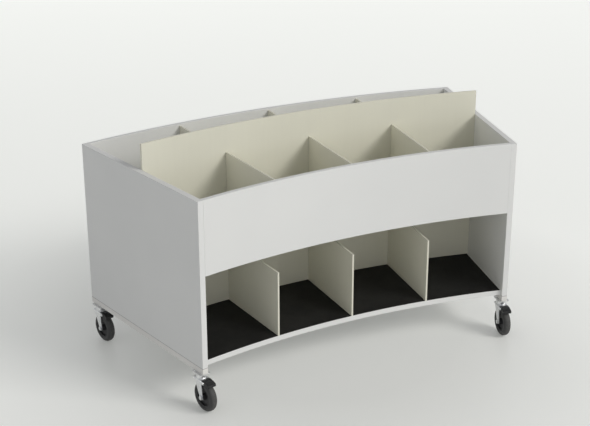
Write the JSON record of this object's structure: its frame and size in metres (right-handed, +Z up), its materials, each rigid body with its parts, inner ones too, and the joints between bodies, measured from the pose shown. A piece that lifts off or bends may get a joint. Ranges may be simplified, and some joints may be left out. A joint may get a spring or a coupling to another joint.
{
  "type": "picture book browser bin",
  "caption": "Curved double-sided picture book browser on braked swivel casters, with divided upper bins and open lower bays on both sides of a tall middle panel.",
  "frame": {"origin": "on the floor, under the middle of the whole object's box", "axes": "+Z up; +X to the right along the unit's length, seen from the concave front; +Y from the concave front to the convex rear"},
  "size_m": [1.4424, 0.7736, 0.794],
  "materials": {
    "board_laminate": "satin white melamine-faced board",
    "spine_laminate": "satin warm grey-beige laminate",
    "mat": "black textured mat",
    "zinc_steel": "bright zinc plate",
    "wheel_plastic": "moulded dark grey plastic",
    "tyre_rubber": "dark grey rubber",
    "pedal_plastic": "moulded black plastic",
    "beech": "plain fluted beech"
  },
  "bodies": {
    "root": {"end_panel_left": "board_laminate", "runner_left": "board_laminate", "end_panel_right": "board_laminate", "runner_right": "board_laminate", "base_board": "board_laminate", "spine_panel": "spine_laminate", "front_board": "board_laminate", "rear_board": "board_laminate", "bin_floor_front": "board_laminate", "bin_floor_rear": "board_laminate", "upper_divider_front_1": "spine_laminate", "lower_divider_front_1": "spine_laminate", "upper_divider_front_2": "spine_laminate", "lower_divider_front_2": "spine_laminate", "upper_divider_front_3": "spine_laminate", "lower_divider_front_3": "spine_laminate", "upper_divider_rear_1": "spine_laminate", "lower_divider_rear_1": "spine_laminate", "upper_divider_rear_2": "spine_laminate", "lower_divider_rear_2": "spine_laminate", "upper_divider_rear_3": "spine_laminate", "lower_divider_rear_3": "spine_laminate", "shelf_mats_front": "mat", "shelf_mats_rear": "mat", "carcass_dowels": "beech", "caster_screws": "zinc_steel", "kingpins": "zinc_steel", "top_plate_front_left": "zinc_steel", "top_plate_front_right": "zinc_steel", "top_plate_rear_left": "zinc_steel", "top_plate_rear_right": "zinc_steel"},
    "swivel_front_left": {"swivel_race_front_left": "zinc_steel", "ball_ring_front_left": "zinc_steel", "fork_front_left": "zinc_steel", "pivot_bolts_front_left": "zinc_steel"},
    "wheel_front_left": {"hub_front_left": "wheel_plastic", "tyre_front_left": "tyre_rubber"},
    "pedal_front_left": {"brake_pedal_front_left": "pedal_plastic"},
    "swivel_front_right": {"swivel_race_front_right": "zinc_steel", "ball_ring_front_right": "zinc_steel", "fork_front_right": "zinc_steel", "pivot_bolts_front_right": "zinc_steel"},
    "wheel_front_right": {"hub_front_right": "wheel_plastic", "tyre_front_right": "tyre_rubber"},
    "pedal_front_right": {"brake_pedal_front_right": "pedal_plastic"},
    "swivel_rear_left": {"swivel_race_rear_left": "zinc_steel", "ball_ring_rear_left": "zinc_steel", "fork_rear_left": "zinc_steel", "pivot_bolts_rear_left": "zinc_steel"},
    "wheel_rear_left": {"hub_rear_left": "wheel_plastic", "tyre_rear_left": "tyre_rubber"},
    "pedal_rear_left": {"brake_pedal_rear_left": "pedal_plastic"},
    "swivel_rear_right": {"swivel_race_rear_right": "zinc_steel", "ball_ring_rear_right": "zinc_steel", "fork_rear_right": "zinc_steel", "pivot_bolts_rear_right": "zinc_steel"},
    "wheel_rear_right": {"hub_rear_right": "wheel_plastic", "tyre_rear_right": "tyre_rubber"},
    "pedal_rear_right": {"brake_pedal_rear_right": "pedal_plastic"}
  },
  "joints": [
    {"name": "swivel_front_left", "type": "hinge", "parent": "root", "child": "swivel_front_left", "pos_m": [-0.56712, -0.31587, 0.11], "axis": [0, 0, 1], "continuous": true},
    {"name": "roll_front_left", "type": "hinge", "parent": "swivel_front_left", "child": "wheel_front_left", "pos_m": [-0.56232, -0.33734, 0.05], "axis": [0.9759, 0.2181, 0], "continuous": true},
    {"name": "brake_front_left", "type": "hinge", "parent": "swivel_front_left", "child": "pedal_front_left", "pos_m": [-0.55992, -0.34808, 0.104], "axis": [0.9759, 0.2181, 0], "range_deg": [0, 10]},
    {"name": "swivel_front_right", "type": "hinge", "parent": "root", "child": "swivel_front_right", "pos_m": [0.56712, -0.31587, 0.11], "axis": [0, 0, 1], "continuous": true},
    {"name": "roll_front_right", "type": "hinge", "parent": "swivel_front_right", "child": "wheel_front_right", "pos_m": [0.56232, -0.33734, 0.05], "axis": [0.9759, -0.2181, 0], "continuous": true},
    {"name": "brake_front_right", "type": "hinge", "parent": "swivel_front_right", "child": "pedal_front_right", "pos_m": [0.55992, -0.34808, 0.104], "axis": [0.9759, -0.2181, 0], "range_deg": [0, 10]},
    {"name": "swivel_rear_left", "type": "hinge", "parent": "root", "child": "swivel_rear_left", "pos_m": [-0.698, 0.26968, 0.11], "axis": [0, 0, 1], "continuous": true},
    {"name": "roll_rear_left", "type": "hinge", "parent": "swivel_rear_left", "child": "wheel_rear_left", "pos_m": [-0.6932, 0.24821, 0.05], "axis": [0.9759, 0.2181, 0], "continuous": true},
    {"name": "brake_rear_left", "type": "hinge", "parent": "swivel_rear_left", "child": "pedal_rear_left", "pos_m": [-0.6908, 0.23747, 0.104], "axis": [0.9759, 0.2181, 0], "range_deg": [0, 10]},
    {"name": "swivel_rear_right", "type": "hinge", "parent": "root", "child": "swivel_rear_right", "pos_m": [0.698, 0.26968, 0.11], "axis": [0, 0, 1], "continuous": true},
    {"name": "roll_rear_right", "type": "hinge", "parent": "swivel_rear_right", "child": "wheel_rear_right", "pos_m": [0.6932, 0.24821, 0.05], "axis": [0.9759, -0.2181, 0], "continuous": true},
    {"name": "brake_rear_right", "type": "hinge", "parent": "swivel_rear_right", "child": "pedal_rear_right", "pos_m": [0.6908, 0.23747, 0.104], "axis": [0.9759, -0.2181, 0], "range_deg": [0, 10]}
  ]
}
